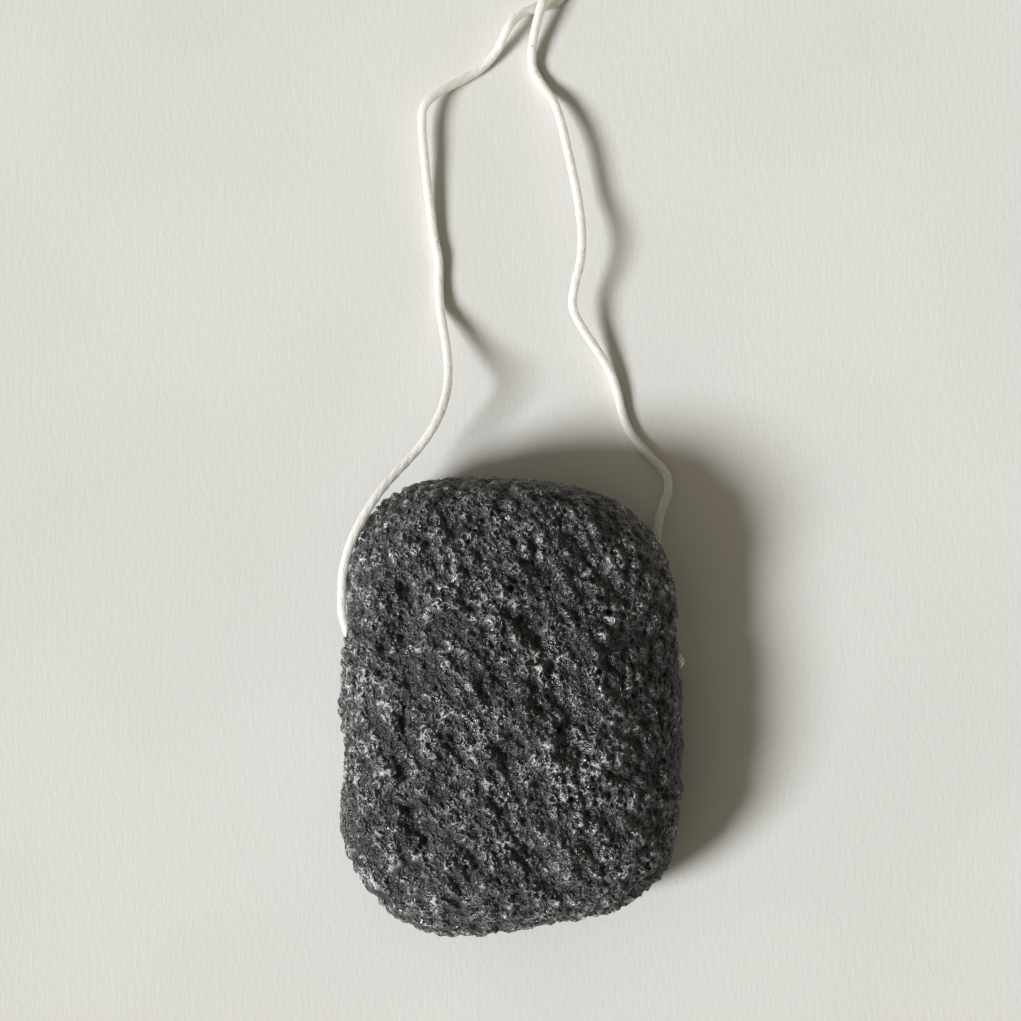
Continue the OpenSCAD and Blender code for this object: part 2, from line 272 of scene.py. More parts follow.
# Frames carried along the whole string without twist, so that the lay runs on from piece
# to piece
directions = np.gradient(string_line, axis=0)
directions /= np.linalg.norm(directions, axis=1)[:, None]
sides = np.empty_like(directions)
carried = np.cross(directions[0], (0, 0, 1))
for i, direction in enumerate(directions):
    carried = carried - carried.dot(direction) * direction
    carried /= np.linalg.norm(carried)
    sides[i] = carried
others = np.cross(directions, sides)
string_along = np.concatenate(
    [[0], np.cumsum(np.linalg.norm(np.diff(string_line, axis=0), axis=1))])

string_ribs = 54
ply_groove = 0.09
yarn_groove = 0.11
# Three plies packed in a round: how far out their centres lie, their radius, and the depth of
# the valley between two of them, all as shares of the string's radius
ply_out = 0.536
ply_r = 0.4643
ply_valley = 0.73
valley_shade = 1.2
# Thick and thin places of the cotton, with the line of the noise that they follow, and its
# ragged skin: their height, as a share of the radius, and how long they are
slub_height, slub_length = 0.035, 6
slub_line = 3.1
skin_height, skin_length, skin_round = 0.03, 1.3, 2
# Stretches where the plies lie loose, and where the cotton is tan: a point near, how far it
# reaches and how strong it is
loose_stretches = [((-27, 56, 15), 9, 1.8), ((36.5, 48, 3), 7, 1.0)]
tan_stretches = [((-12, 151.4, 1.8), 4, 0.35), ((8, 169.3, 1.1), 4, 0.3), ((-37, 42, 17), 3, 0.1)]
# How near two vertices of a seam lie, in metres
seam_gap = 1e-7
# The frayed ends: how long and thick their fibres are, how many, and with how many points
fray_length = 4.0
fray_d = 0.12
fray_count = 44
fray_points = 6
fray_sides = 4
# Where the fibres start: their spread and limit, as shares of the string's diameter, how that
# spread is shared out among the axes, and how far back in the string
fray_spread = 0.3
fray_axes = (1, 0.4, 0.6)
fray_limit = 0.35
fray_root = 0.6
# How they lie: their splay and curl and the shortest one, as shares of the length, and how far
# their tips droop
fray_splay = 0.42
fray_curl = 0.35
fray_shortest = 0.35
fray_droop = 0.5


def strength_along(stretches):
    """How strongly each row of the string's line is in one of these stretches."""
    strength = np.zeros(len(string_line))
    for point, reach, most in stretches:
        off = string_along - string_along[row_near(point)]
        strength = np.maximum(strength, most * np.exp(-(off / reach) ** 2))
    return strength


looseness = strength_along(loose_stretches)
tan_strength = strength_along(tan_stretches)


def lobed(turn, loose=0):
    """The string's outline, as a share of its radius: three plies of three yarns."""
    ply = (turn + math.pi / plies) % (2 * math.pi / plies) - math.pi / plies
    reach = ply_out * np.cos(ply) + np.sqrt(abs(ply_r ** 2 - (ply_out * np.sin(ply)) ** 2))
    return (1 - ply_groove * (1 + loose) * (1 - reach) / ply_valley
            - yarn_groove * (1 - abs(np.cos(yarns / 2 * turn))))


def string_mesh():
    """An empty mesh with what the cotton reads: the lay, painted shade in the grooves, tan and
    stray fibres.
    """
    bm = bmesh.new()
    bm.loops.layers.uv.new("string")
    for layer in ("groove_shade", "tan", "stray"):
        bm.verts.layers.float.new(layer)
    return bm


def string_piece(first, last, bm=None):
    """A stretch of the string between two rows of its line."""
    bm = bm or string_mesh()
    count = last - first
    turn_layer = bm.loops.layers.uv["string"]
    groove_layer = bm.verts.layers.float["groove_shade"]
    tan_layer = bm.verts.layers.float["tan"]
    verts = bmesh.ops.create_grid(bm, x_segments=string_ribs, y_segments=count, size=1)["verts"]
    place = {}
    for v in verts:
        turn = math.pi * (v.co.x + 1)
        row = first + round((v.co.y + 1) / 2 * count)
        place[v] = (turn, row)
    for v in verts:
        turn, row = place[v]
        along = string_along[row]
        shape = float(lobed(turn, looseness[row]))
        slub = 1 + slub_height * noise.noise(Vector((along / slub_length, slub_line, 0)))
        skin = skin_height * noise.noise(Vector((
            along / skin_length, math.cos(turn) * skin_round, math.sin(turn) * skin_round)))
        radius = string_d / 2 * slub * (shape + skin)
        angle = turn - 2 * math.pi * along / lay_length
        at = string_line[row] + radius * (math.cos(angle) * sides[row]
                                          + math.sin(angle) * others[row])
        at[2] = max(at[2], 0)
        v.co = Vector(at) * mm
        # How deep between plies and yarns each point lies: where the painted shade falls
        v[groove_layer] = min(1, (1 - shape) / (ply_groove + yarn_groove) * valley_shade)
        v[tan_layer] = tan_strength[row]
    faces = {f for v in verts for f in v.link_faces}
    for face in faces:
        for loop in face.loops:
            turn, row = place[loop.vert]
            loop[turn_layer].uv = (turn / (2 * math.pi), string_along[row] * mm)
    return bm


def tube_along(bm, line, radius, segments):
    """A tube of even width along a line, open at its ends."""
    rings = []
    verts = []
    for at, direction in zip(line, np.gradient(line, axis=0)):
        turned = Vector(direction).to_track_quat("Z", "Y").to_matrix().to_4x4()
        ring = bmesh.ops.create_circle(bm, segments=segments, radius=radius * mm,
                                       matrix=Matrix.Translation(at * mm) @ turned)
        rings.append({e for v in ring["verts"] for e in v.link_edges})
        verts.extend(ring["verts"])
    for ring, following in zip(rings, rings[1:]):
        bmesh.ops.bridge_loops(bm, edges=list(ring | following))
    return verts


def frayed(bm, end, direction, seed):
    """Fibres that have come loose at a cut end of the string."""
    chance = np.random.default_rng(seed)
    stray_layer = bm.verts.layers.float["stray"]
    for _ in range(fray_count):
        aside = chance.normal(0, fray_spread * string_d, 3) * fray_axes
        aside *= min(1, fray_limit * string_d / np.linalg.norm(aside))
        start = end + aside - fray_root * direction
        heading = direction + chance.normal(0, fray_splay, 3)
        reach = fray_length * chance.uniform(fray_shortest, 1)
        curl = chance.normal(0, fray_curl, 3)
        steps = np.linspace(0, 1, fray_points)[:, None]
        line = start + reach * (heading * steps + curl * steps ** 2)
        line[:, 2] = np.maximum(line[:, 2] - fray_droop * steps[:, 0] ** 2, fray_d)
        for v in tube_along(bm, line, fray_d / 2, fray_sides):
            v[stray_layer] = 1


def finished(bm, name, material):
    """Closes a string mesh's seam and ends and makes it an object."""
    bmesh.ops.remove_doubles(bm, verts=bm.verts, dist=seam_gap)
    bmesh.ops.holes_fill(bm, edges=[e for e in bm.edges if e.is_boundary], sides=0)
    bmesh.ops.recalc_face_normals(bm, faces=bm.faces)
    for face in bm.faces:
        face.smooth = len(face.verts) == 4
    mesh = bpy.data.meshes.new(name)
    bm.to_mesh(mesh)
    bm.free()
    mesh.materials.append(material)
    return placed(name, mesh)


def linear(hex_colour):
    """An sRGB hex colour as Blender's linear one."""
    channels = [int(hex_colour[k:k + 2], 16) / 255 for k in (1, 3, 5)]
    return [c / 12.92 if c <= 0.04045 else ((c + 0.055) / 1.055) ** 2.4
            for c in channels] + [1]


def fed(material, node, inputs=(), **links):
    """Sets a node's fixed inputs and links what feeds the others, by name or as i and a number."""
    for key, value in dict(inputs).items():
        node.inputs[key].default_value = value
    for key, output in links.items():
        numbered = key[0] == "i" and key[1:].isdigit()
        socket = node.inputs[int(key[1:]) if numbered else key.replace("_", " ")]
        material.node_tree.links.new(output, socket)
    return node


def add(material, kind, settings=(), inputs=(), **links):
    """Adds a node, with its settings, its fixed inputs and the outputs that feed it."""
    node = material.node_tree.nodes.new(kind)
    for key, value in dict(settings).items():
        setattr(node, key, value)
    return fed(material, node, inputs, **links)


def new_material(name):
    """A material with its shader, and nothing else yet."""
    material = bpy.data.materials.new(name)
    material.use_nodes = True
    return material, material.node_tree.nodes["Principled BSDF"]


# Undyed cotton: matt and cream, nearly white on the crowns of the yarns, with painted shade,
# a little darker and warmer, in the grooves between them, a soft haze of fibres and a few
# brown flecks of seed.
cotton_crown = "#f9f6ef"
cotton_groove_shade = "#f0e9da"
cotton_tan = "#d9c197"
seed_brown = "#6f5a3c"
fibre_width, fibre_length, fibre_relief = 0.22, 1.6, 0.06
# The flecks: how far apart, where from their middle they begin and end to fade, how strong
seed_spacing = 13
seed_inside, seed_outside = 0.12, 0.28
seed_strength = 0.85
# How far light reaches into the cotton
light_reach = 7

cotton, shader = new_material("undyed_twisted_cotton")
groove_shade = add(cotton, "ShaderNodeAttribute", {"attribute_name": "groove_shade"})
string_uv = add(cotton, "ShaderNodeUVMap", {"uv_map": "string"})
around_mm = math.pi * string_d
fibres_at = add(cotton, "ShaderNodeMapping",
                inputs={"Scale": (around_mm / fibre_width, 1 / (fibre_length * mm), 1)},
                Vector=string_uv.outputs["UV"])
fibres = add(cotton, "ShaderNodeTexNoise", inputs={"Scale": 1, "Detail": 3, "Roughness": 0.6},
             Vector=fibres_at.outputs["Vector"])
# Painted shade: the grooves get a darker, warmer cream than the crowns of the yarns
tone = add(cotton, "ShaderNodeMix", {"data_type": "RGBA"},
           {6: linear(cotton_crown), 7: linear(cotton_groove_shade)}, i0=groove_shade.outputs["Fac"])
fleck = add(cotton, "ShaderNodeMapRange",
            inputs={"From Min": 0.3, "From Max": 0.7, "To Min": 0.9, "To Max": 1.0},
            Value=fibres.outputs["Fac"])
flecked = add(cotton, "ShaderNodeMix", {"data_type": "RGBA", "blend_type": "MULTIPLY"}, {0: 1},
              i6=tone.outputs[2], i7=fleck.outputs["Result"])
tan_share = add(cotton, "ShaderNodeAttribute", {"attribute_name": "tan"})
tanned = add(cotton, "ShaderNodeMix", {"data_type": "RGBA"}, {7: linear(cotton_tan)},
             i0=tan_share.outputs["Fac"], i6=flecked.outputs[2])
seeds_at = add(cotton, "ShaderNodeMapping",
               inputs={"Scale": (around_mm / seed_spacing, 1 / (seed_spacing * mm), 1)},
               Vector=string_uv.outputs["UV"])
seeds = add(cotton, "ShaderNodeTexVoronoi", {"voronoi_dimensions": "2D"}, {"Scale": 1},
            Vector=seeds_at.outputs["Vector"])
seed_share = add(cotton, "ShaderNodeMapRange",
                 inputs={"From Min": seed_inside / seed_spacing,
                         "From Max": seed_outside / seed_spacing,
                         "To Min": seed_strength, "To Max": 0.0},
                 Value=seeds.outputs["Distance"])
seeded = add(cotton, "ShaderNodeMix", {"data_type": "RGBA"}, {7: linear(seed_brown)},
             i0=seed_share.outputs["Result"], i6=tanned.outputs[2])
relief = add(cotton, "ShaderNodeBump", inputs={"Strength": 0.6, "Distance": fibre_relief * mm},
             Height=fibres.outputs["Fac"])
# Light soaks through the string from side to side, but stray fibres are too thin for that
stray = add(cotton, "ShaderNodeAttribute", {"attribute_name": "stray"})
soaked = add(cotton, "ShaderNodeMath", {"operation": "SUBTRACT"}, {0: 1.0},
             i1=stray.outputs["Fac"])
fed(cotton, shader,
    {"Roughness": 0.85, "IOR": 1.45, "Sheen Weight": 0.25, "Sheen Roughness": 0.5,
     "Subsurface Radius": (1, 0.95, 0.85), "Subsurface Scale": light_reach * mm},
    Base_Color=seeded.outputs[2], Normal=relief.outputs["Normal"],
    Subsurface_Weight=soaked.outputs[0])

# The string's pieces, each a stretch of its line. Each laps one row over the next, so that no
# crack shows between them.
left_tail_mesh = string_piece(0, left_tail_end + 1)
frayed(left_tail_mesh, string_line[0], -directions[0], seed=5)
left_tail = finished(left_tail_mesh, "left_tail_string", cotton)
right_tail_mesh = string_piece(right_tail_start - 1, len(string_line) - 1)
frayed(right_tail_mesh, string_line[-1], directions[-1], seed=8)
right_tail = finished(right_tail_mesh, "right_tail_string", cotton)
knot_mesh = string_piece(left_tail_end, left_leg_start)
knot = finished(string_piece(right_leg_end, right_tail_start, knot_mesh),
                "knotted_string", cotton)
left_leg = finished(string_piece(left_leg_start - 1, left_mouth + 1), "left_string", cotton)
right_leg = finished(string_piece(right_mouth - 1, right_leg_end + 1), "right_string", cotton)
threaded = finished(string_piece(left_mouth, right_mouth), "threaded_string", cotton)

for piece, node in ((left_tail, "string_left_tail"), (right_tail, "string_right_tail"),
                    (knot, "string_knot"), (left_leg, "string_left_leg"),
                    (right_leg, "string_right_leg"), (threaded, "string_in_sponge")):
    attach(piece, "root")
    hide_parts(node)

# Sponge. One block of konjac root gel darkened with charcoal, cast in a mould, frozen so that
# ice opens its pores, and dried. It shrinks unevenly as it dries, which leaves the lumps and
# creases of its crown, and a needle draws the string straight through it.
belt_height = 12.5
crown_height = 32
# The voxels of its two meshes, and how often each is smoothed
foam_coarse, foam_softening = 1.1, 8
foam_fine, fine_softening = 0.34, 3
smoothing_factor = 0.5
# The tunnel: its gap round the string, how far its worn slots run on past the bends, and the
# gap that the foam keeps where the string lies against it
string_gap = 0.3
slot_run = 4.84
contact_gap = 0.12
tunnel_step = 0.3
bore_margin = 0.1
weld_gap = 1e-6
needle_sides = 20
needle_rows = 4

# Places and radii of the largest pores of the crown, their depth, and how high the crown begins
pores = [(11.8, -3.9, 0.75), (9.1, 29.2, 0.7), (0.3, 28.9, 0.8), (-20.3, -30.4, 0.8),
         (-22.8, -22.7, 0.65), (14.3, -20.5, 0.7), (-10.4, -36.3, 0.65), (23.2, 23.3, 0.7),
         (20.7, 9.5, 0.7), (-19.4, 30.2, 0.6)]
pore_depth = 1.3
crown_from = 15
# Patches painted pale as painted light, mostly on the lamp's side, or, with a share below
# nought, painted dark as painted shade, on the far side, along the back edge and in the left
# crease: place, reach, share
painted_light_patches = [
    (-37, 8, 8, 1), (-37, -12, 9, 1), (-33, -38, 8, 0.6), (-34, 38, 7, 0.5), (-11, -9, 7, 0.8),
    (9, -15, 8, 0.7), (4, -34, 7, 0.6), (18, -3, 6, 0.7), (6, 9, 6, 0.4), (-5, 28, 7, 0.3),
    (34, 10, 10, -1), (37, -14, 9, -0.8), (34, -36, 8, -0.6), (-24.5, 8, 4, -0.7),
    (-22, -27, 5, -0.5), (-17, 55, 6, -1), (2, 55, 7, -1), (20, 53, 7, -1)
]
# Creases of the crown: their run in plan, their reach and their depth
creases = [
    ([(-24.9, 1.2), (-24.9, -4.2)], 0.75, 1.9), ([(-1.8, -38.5), (2, -46)], 1.5, 0.8),
    ([(-24.3, 29), (-24.9, 12), (-24.8, -3)], 2.2, 1.0),
    ([(-25.5, -12), (-24, -24), (-20, -31), (-17.5, -35)], 2.0, 0.8),
    ([(-20.6, -29), (-19.6, -31)], 2.4, 0.8), ([(3, -31), (6, -35), (8, -37)], 1.6, 0.7),
    ([(-3.5, 11), (-1.5, 6)], 1.8, 1.1), ([(3.5, 22), (6, 17)], 1.5, 1.0),
    ([(9.5, 5), (14.5, -3)], 1.4, 0.7), ([(-6, -4), (-3, -9)], 1.5, 0.7),
    ([(14.5, 41), (18, 35)], 1.8, 0.8), ([(26.5, 31), (29.5, 26)], 2.0, 0.8)
]


def applied(piece, *modifiers):
    """Gives a piece the mesh that it has after these modifiers."""
    for kind, settings in modifiers:
        modifier = piece.modifiers.new(kind.lower(), kind)
        for key, value in settings.items():
            setattr(modifier, key, value)
    bpy.context.view_layer.update()
    shaped = piece.evaluated_get(bpy.context.evaluated_depsgraph_get())
    mesh = bpy.data.meshes.new_from_object(shaped)
    piece.modifiers.clear()
    piece.data = mesh


def slot_end(side):
    """Where the worn slot at a mouth of the tunnel ends."""
    turn = bends[side][1]
    onwards = bend_point(side, turn + 1) - bend_point(side, turn)
    return bend_point(side, turn) + slot_run * onwards / np.linalg.norm(onwards)


def tree_of(line):
    """A search tree of a line's points."""
    tree = kdtree.KDTree(len(line))
    for i, point in enumerate(line):
        tree.insert(point, i)
    tree.balance()
    return tree


# The block, from its solid with the string's tunnel closed up
tunnel = tree_of(respaced(
    [slot_end(-1)] + left_turns + right_turns + [slot_end(1)], tunnel_step))
form = bmesh.new()
form.from_mesh(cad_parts["sponge_body"].data)
bmesh.ops.remove_doubles(form, verts=form.verts, dist=weld_gap)
bore_reach = string_d / 2 + string_gap + bore_margin
bore_verts = {v for v in form.verts if tunnel.find(v.co / mm)[2] < bore_reach}
bore = [f for f in form.faces if bore_verts.issuperset(f.verts)]
bmesh.ops.delete(form, geom=bore, context="FACES")
bmesh.ops.holes_fill(form, edges=[e for e in form.edges if e.is_boundary], sides=0)
bmesh.ops.triangulate(form, faces=form.faces)
form_data = bpy.data.meshes.new("konjac_sponge")
form.to_mesh(form_data)
form.free()
sponge = placed("konjac_sponge", form_data)
applied(sponge, ("REMESH", {"mode": "VOXEL", "voxel_size": foam_coarse * mm}),
        ("SMOOTH", {"factor": smoothing_factor, "iterations": foam_softening}))

# The needle's way through it
slot_rows = round(slot_run / row_step)
needle_form = bmesh.new()
tube_along(needle_form,
           string_line[left_mouth - slot_rows:right_mouth + slot_rows + 1:needle_rows],
           string_d / 2 + string_gap, needle_sides)
needle_way = finished(needle_form, "needle_way", cotton)
applied(sponge,
        ("BOOLEAN", {"operation": "DIFFERENCE", "object": needle_way, "solver": "MANIFOLD"}),
        ("REMESH", {"mode": "VOXEL", "voxel_size": foam_fine * mm}),
        ("SMOOTH", {"factor": smoothing_factor, "iterations": fine_softening}))
bpy.data.objects.remove(needle_way)


def vectors_of(items, name):
    """A vector that each of a mesh's items has, as rows of an array."""
    values = np.empty(len(items) * 3)
    items.foreach_get(name, values)
    return values.reshape(-1, 3)


def run_distance(p, run):
    """Distance in plan from each point to a run of straight stretches."""
    nearest = np.full(len(p), np.inf)
    for a, b in zip(run, run[1:]):
        a, b = np.array(a), np.array(b)
        share = np.clip((p[:, :2] - a) @ (b - a) / ((b - a) @ (b - a)), 0, 1)
        nearest = np.minimum(nearest, np.linalg.norm(
            p[:, :2] - a - share[:, None] * (b - a), axis=1))
    return nearest


# Its creases, cut down from the crown and fading out towards the belt
at = vectors_of(sponge.data.vertices, "co") / mm
high = np.clip((at[:, 2] - belt_height) / (crown_height - belt_height), 0, 1)
drop = np.zeros(len(at))
for run, reach, depth in creases:
    drop = np.maximum(drop, depth * np.exp(-(run_distance(at, run) / reach) ** 2))
at[:, 2] -= drop * high
sponge.data.vertices.foreach_set("co", (at * mm).ravel())
sponge.data.update()

# Nodules, lumps, cells and pores, along the surface's own direction. They are drawn out
# along the grain that the gel froze in, which runs towards the front right.
grain = math.radians(-55)
grain_along = np.array([math.cos(grain), math.sin(grain)])
grain_stretch = 0.32
swirl_size, swirl_reach = 1.5, 0.35
swirl_seed = 1
nodule_size, nodule_height = 3.1, 1.25
nodule_middle, nodule_edge = 0.45, 0.8
lump_size, lump_height = 1.8, 0.7
cell_size, cell_depth = 1.25, 0.62
cell_wall = 0.5
shallow_cell, deeper_cell = 0.35, 0.65
swell = -0.05
# Small pores: one to a place, in some of the places, with their radius and depth
small_pore_spacing = 4.5
small_pores_kept = 0.4
small_pore_r, small_pore_depth = 0.75, 0.8
small_pore_edge = 0.7
# What turns a cell's or a small pore's place into a number with no order to it
cell_mix = (7.31, 3.17)
pore_mix = (5.13, 9.71, 3.3)
normals = vectors_of(sponge.data.vertex_normals, "vector")
along_grain = at[:, :2] @ grain_along
stretched = at.copy()
stretched[:, :2] -= grain_stretch * along_grain[:, None] * grain_along
# Without a seed the swirl would follow the clock
noise.seed_set(swirl_seed)
cells = []
for (x, y, z), (u, v, w) in zip(at.tolist(), stretched.tolist()):
    swirl = noise.noise_vector(
        Vector((x / swirl_size, y / swirl_size, z / swirl_size))) * swirl_reach
    bead = noise.voronoi((Vector((u, v, w)) + 2 * swirl) / nodule_size)[0][0]
    lump = lump_height * noise.noise(Vector((u / lump_size, v / lump_size, w / lump_size)))
    lump += nodule_height * (nodule_middle - min(1, bead / nodule_edge) ** 2)
    near, places = noise.voronoi((Vector((u, v, w)) + swirl) / cell_size)
    wall = near[1] - near[0]
    mixed = (places[0].x * cell_mix[0] + places[0].y * cell_mix[1]) % 1
    depth = shallow_cell + deeper_cell * mixed
    near, places = noise.voronoi(Vector((x, y, z)) / small_pore_spacing)
    spot = places[0]
    mixed = (spot.x * pore_mix[0] + spot.y * pore_mix[1] + spot.z * pore_mix[2]) % 1
    off = near[0] * small_pore_spacing if mixed < small_pores_kept else math.inf
    cells.append((lump, wall, depth, off))
lump, wall, cell_share, off = np.array(cells).T
pit = np.clip(wall / cell_wall, 0, 1)
pit = pit * pit * (3 - 2 * pit) * cell_share
raised = swell + lump - cell_depth * pit
pore = np.clip(1 - off / small_pore_r, 0, 1) ** small_pore_edge * small_pore_depth
for x, y, radius in pores:
    off = np.linalg.norm(at[:, :2] - (x, y), axis=1) / radius
    pore = np.maximum(pore, np.where(at[:, 2] > crown_from, pore_depth * np.exp(-off ** 4), 0))
raised -= pore

# Near the string and the table the surface lies calm. The foam grips the string along the
# left flank behind its mouth, and the knot's pull draws it in at the right mouth.
calm_reach, calm_least = 1.2, 0.15
table_reach = 1.5
grip_reach, grip_height = 1.6, 1.1
grip_from, grip_fade = 19, 6
drawn_reach, drawn_depth = 3, 1.1
pressed_reach = 4
line_tree = tree_of(string_line)
from_string = np.array([line_tree.find(q)[2] for q in at.tolist()])
calm = np.clip((from_string - string_d / 2 - string_gap) / calm_reach, calm_least, 1)
off_table = np.clip(at[:, 2] / table_reach, 0, 1)
raised = np.where(raised > 0, raised * off_table, raised) * calm
grip = np.exp(-((from_string - string_d / 2) / grip_reach) ** 2)
behind_mouth = np.clip((at[:, 1] - grip_from) / grip_fade, 0, 1)
raised += grip_height * grip * off_table * (at[:, 0] < 0) * behind_mouth
drawn_in = np.linalg.norm(at - bend_point(1, held_turn), axis=1) / drawn_reach
raised -= drawn_depth * np.exp(-drawn_in ** 2)
at += raised[:, None] * normals
for i, q in enumerate(at.tolist()):
    if from_string[i] < pressed_reach:
        centre, _, gap = line_tree.find(q)
        wanted = string_d / 2 + contact_gap
        if gap < wanted:
            at[i] = np.array(centre) + (at[i] - centre) * wanted / gap
at[:, 2] = np.maximum(at[:, 2], 0)
sponge.data.vertices.foreach_set("co", (at * mm).ravel())

# What the foam's material reads: painted shade in its pits and pores, and a pale tone that paints
# light on the nodules' tops and in the lit patches, and shade in their valleys, the shaded
# patches and the creases
cell_hollow = 0.8
crest_middle, crest_range = 0.42, 1.3
patch_light_share, crease_shade = 0.3, 0.3
# Painted shade: how dark the pits and pores are painted
hollow = sponge.data.attributes.new("hollow", "FLOAT", "POINT")
hollow.data.foreach_set("value", np.clip(pit * cell_hollow + pore, 0, 1))
crest_light_and_shade = sponge.data.attributes.new("crest_light_and_shade", "FLOAT", "POINT")
# Painted light on the lamp's side and painted shade on the far side, from the patches
patch_light_and_shade = np.zeros(len(at))
for x, y, reach, share in painted_light_patches:
    patch_light_and_shade += share * np.exp(-((at[:, 0] - x) ** 2 + (at[:, 1] - y) ** 2) / reach ** 2)
# Painted light and shade: paler on the nodules' tops, darker in their valleys and creases, with
# the patches added
painted_paleness = crest_middle + lump / crest_range + patch_light_share * patch_light_and_shade - crease_shade * drop
crest_light_and_shade.data.foreach_set("value", np.clip(painted_paleness, 0, 1))
sponge.data.polygons.foreach_set("use_smooth", np.ones(len(sponge.data.polygons), bool))
sponge.data.update()

# Konjac gel foam: translucent dark grey walls with a waxy gloss. Its base colour also holds
# painted highlights, small bright glints on the thin walls, and painted shade, its pits and
# pores painted nearly black.
foam_dark = "#0a0a0b"
foam_grey = "#c4c4c8"
wall_spacing = 1.4
wall_relief = 0.42
patch_spacing = 5
glint_sharpness = 3.3

foam, shader = new_material("konjac_gel_foam")
place = add(foam, "ShaderNodeTexCoord")
walls = add(foam, "ShaderNodeTexNoise", {"noise_type": "RIDGED_MULTIFRACTAL", "normalize": True},
            {"Scale": 1 / (wall_spacing * mm), "Detail": 2, "Roughness": 0.55, "Lacunarity": 2.1,
             "Offset": 0.9, "Gain": 1.6, "Distortion": 0.6}, Vector=place.outputs["Object"])
patches = add(foam, "ShaderNodeTexNoise",
              inputs={"Scale": 1 / (patch_spacing * mm), "Detail": 2, "Roughness": 0.5},
              Vector=place.outputs["Object"])
hollows = add(foam, "ShaderNodeAttribute", {"attribute_name": "hollow"})
light_share = add(foam, "ShaderNodeMapRange",
                  inputs={"From Min": 0.25, "From Max": 0.95, "To Min": 0.0, "To Max": 1.0},
                  Value=walls.outputs["Fac"])
patch_share = add(foam, "ShaderNodeMapRange",
                  inputs={"From Min": 0.3, "From Max": 0.7, "To Min": 0.7, "To Max": 1.0},
                  Value=patches.outputs["Fac"])
crests = add(foam, "ShaderNodeAttribute", {"attribute_name": "crest_light_and_shade"})
crest_share = add(foam, "ShaderNodeMapRange",
                  inputs={"From Min": 0.0, "From Max": 1.0, "To Min": 0.25, "To Max": 1.0},
                  Value=crests.outputs["Fac"])
crest_gloss = add(foam, "ShaderNodeMapRange",
                  inputs={"From Min": 0.2, "From Max": 0.8, "To Min": 0.42, "To Max": 0.2},
                  Value=crests.outputs["Fac"])
unhollowed = add(foam, "ShaderNodeMath", {"operation": "SUBTRACT"}, {0: 1.0},
                 i1=hollows.outputs["Fac"])
on_walls = add(foam, "ShaderNodeMath", {"operation": "MULTIPLY"},
               i0=light_share.outputs["Result"], i1=patch_share.outputs["Result"])
# Painted shade in the pits and pores
off_pores = add(foam, "ShaderNodeMath", {"operation": "MULTIPLY"},
                i0=on_walls.outputs[0], i1=unhollowed.outputs[0])
# Painted light on the tops and lit patches, painted shade in the valleys, shaded patches and
# creases
on_crests = add(foam, "ShaderNodeMath", {"operation": "MULTIPLY"},
                i0=off_pores.outputs[0], i1=crest_share.outputs["Result"])
spread = add(foam, "ShaderNodeMapRange",
             inputs={"From Min": 0.0, "From Max": 0.75, "To Min": 0.0, "To Max": 1.0},
             Value=on_crests.outputs[0])
# Painted highlights: the pale walls raised to a power, as bright glints in the base colour
glints = add(foam, "ShaderNodeMath", {"operation": "POWER"}, {1: glint_sharpness},
             i0=spread.outputs["Result"])
tone = add(foam, "ShaderNodeMix", {"data_type": "RGBA"},
           {6: linear(foam_dark), 7: linear(foam_grey)}, i0=glints.outputs[0])
relief = add(foam, "ShaderNodeBump", inputs={"Strength": 1.0, "Distance": wall_relief * mm},
             Height=walls.outputs["Fac"])
fed(foam, shader,
    {"IOR": 1.5, "Specular IOR Level": 0.7, "Sheen Weight": 0.15, "Sheen Roughness": 0.45},
    Base_Color=tone.outputs[2], Normal=relief.outputs["Normal"],
    Roughness=crest_gloss.outputs["Result"])
sponge.data.materials.clear()
sponge.data.materials.append(foam)

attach(sponge, "root")
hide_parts("sponge_body")

# Floor and light. A sheet of pale, slightly toothed paper, lit by one soft lamp from the
# lower left and by what the room throws back.
paper_tone = "#dfdfdd"
paper_shade = "#dadad8"
tooth_width, tooth_length, tooth_relief = 1.1, 3.4, 0.07
cloud_spacing = 70
floor_half = 3

paper, shader = new_material("matt_paper")
place = add(paper, "ShaderNodeTexCoord")
laid_at = add(paper, "ShaderNodeMapping",
              inputs={"Scale": (1 / (tooth_width * mm), 1 / (tooth_length * mm), 1)},
              Vector=place.outputs["Object"])
tooth = add(paper, "ShaderNodeTexNoise", inputs={"Scale": 1, "Detail": 3, "Roughness": 0.6},
            Vector=laid_at.outputs["Vector"])
cloudiness = add(paper, "ShaderNodeTexNoise",
                 inputs={"Scale": 1 / (cloud_spacing * mm), "Detail": 1},
                 Vector=place.outputs["Object"])
cloud_share = add(paper, "ShaderNodeMapRange",
                  inputs={"From Min": 0.3, "From Max": 0.7}, Value=cloudiness.outputs["Fac"])
tone = add(paper, "ShaderNodeMix", {"data_type": "RGBA"},
           {6: linear(paper_tone), 7: linear(paper_shade)}, i0=cloud_share.outputs["Result"])
relief = add(paper, "ShaderNodeBump", inputs={"Strength": 1.0, "Distance": tooth_relief * mm},
             Height=tooth.outputs["Fac"])
fed(paper, shader, {"Roughness": 0.9, "Specular IOR Level": 0.2},
    Base_Color=tone.outputs[2], Normal=relief.outputs["Normal"])

floor_mesh = bmesh.new()
bmesh.ops.create_grid(floor_mesh, x_segments=1, y_segments=1, size=floor_half)
floor_data = bpy.data.meshes.new("floor")
floor_mesh.to_mesh(floor_data)
floor_mesh.free()
floor_data.materials.append(paper)
floor = placed("floor", floor_data)

# The lamp's height over the table and its width in degrees, and its bearing in plan
lamp_height = 34.2
lamp_width = 18
lamp_bearing = (-0.909, -0.416)
lamp_strength = 4.3
lamp_tint = (0.985, 1, 1)

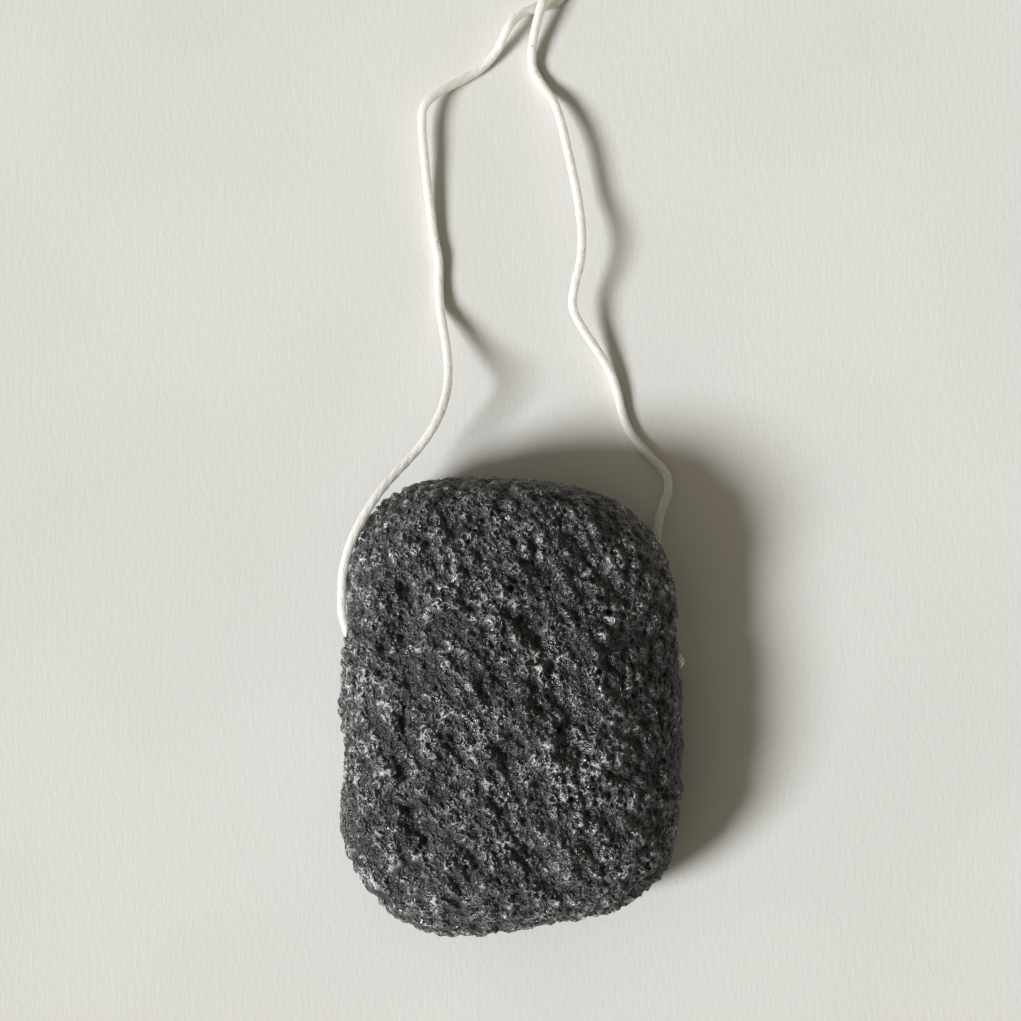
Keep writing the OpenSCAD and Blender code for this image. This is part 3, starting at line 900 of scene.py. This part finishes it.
lamp_data = bpy.data.lights.new("soft_lamp", "SUN")
lamp_data.energy = lamp_strength
lamp_data.angle = math.radians(lamp_width)
lamp_data.color = lamp_tint
lamp = placed("soft_lamp", lamp_data)
rise = math.radians(lamp_height)
towards = Vector((lamp_bearing[0] * math.cos(rise), lamp_bearing[1] * math.cos(rise),
                  math.sin(rise)))
lamp.rotation_euler = towards.to_track_quat("Z", "Y").to_euler()

# What the eye and a gloss see past the paper is a low wall as pale as the paper, and what the
# room throws back is dim and a little warm, and dimmer from the side away from the lamp.
room_near_lamp = (0.37, 0.329, 0.256, 1)
room_far_side = (0.085, 0.076, 0.058, 1)
backdrop_tone = "#dad9d6"
wall_top = 0.3
wall_fade = 0.12

world = bpy.data.worlds.new("room")
world.use_nodes = True
scene.world = world
room = world.node_tree.nodes["Background"]
path = add(world, "ShaderNodeLightPath")
seen_or_mirrored = add(world, "ShaderNodeMath", {"operation": "MAXIMUM"},
                       i0=path.outputs["Is Camera Ray"], i1=path.outputs["Is Glossy Ray"])
seen = add(world, "ShaderNodeMath", {"operation": "MAXIMUM"},
           i0=seen_or_mirrored.outputs[0], i1=path.outputs["Is Transmission Ray"])
outlook = add(world, "ShaderNodeTexCoord")
outlook_z = add(world, "ShaderNodeSeparateXYZ", i0=outlook.outputs["Generated"])
low_wall = add(world, "ShaderNodeMapRange",
               inputs={"From Min": wall_top, "From Max": wall_top + wall_fade,
                       "To Min": 1.0, "To Max": 0.0}, Value=outlook_z.outputs["Z"])
wall_seen = add(world, "ShaderNodeMath", {"operation": "MULTIPLY"},
                i0=seen.outputs[0], i1=low_wall.outputs["Result"])
far_share = add(world, "ShaderNodeMapRange", inputs={"From Min": -1.0, "From Max": 1.0},
                Value=outlook_z.outputs["X"])
room_light = add(world, "ShaderNodeMix", {"data_type": "RGBA"},
                 {6: room_near_lamp, 7: room_far_side}, i0=far_share.outputs["Result"])
backdrop = add(world, "ShaderNodeMix", {"data_type": "RGBA"}, {7: linear(backdrop_tone)},
               i0=wall_seen.outputs[0], i6=room_light.outputs[2])
fed(world, room, Color=backdrop.outputs[2])

scene.view_settings.view_transform = "Standard"
